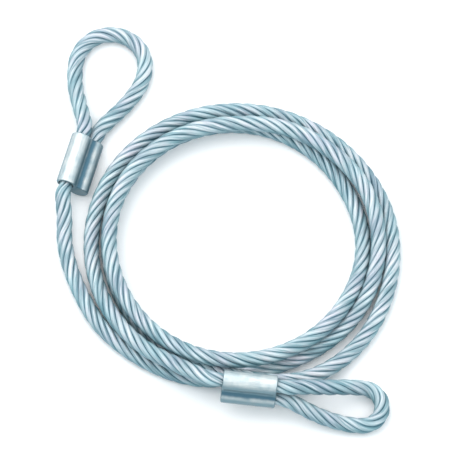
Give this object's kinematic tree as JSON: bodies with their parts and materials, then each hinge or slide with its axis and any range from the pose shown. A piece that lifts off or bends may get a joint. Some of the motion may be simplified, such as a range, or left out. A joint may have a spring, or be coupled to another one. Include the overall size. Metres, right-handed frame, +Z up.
{
  "type": "security cable",
  "caption": "Coiled galvanised wire rope security cable with a pressed ferrule and a teardrop eye at each end, used with a padlock.",
  "frame": {"origin": "centre of the footprint, on the floor that the coil lies on", "axes": "+Z up from the floor; +Y towards eye A, the eye that stands away from the coil; +X towards eye B's tip"},
  "size_m": [0.2142, 0.2738, 0.0343],
  "materials": {
    "rope": "galvanised, semi-gloss",
    "ferrule": "pressed, satin"
  },
  "bodies": {
    "root": {"coil_rope": "rope", "eye_a_rope": "rope", "eye_b_rope": "rope", "tail_a_rope": "rope", "tail_b_rope": "rope", "ferrule_a": "ferrule", "ferrule_b": "ferrule"}
  },
  "joints": []
}
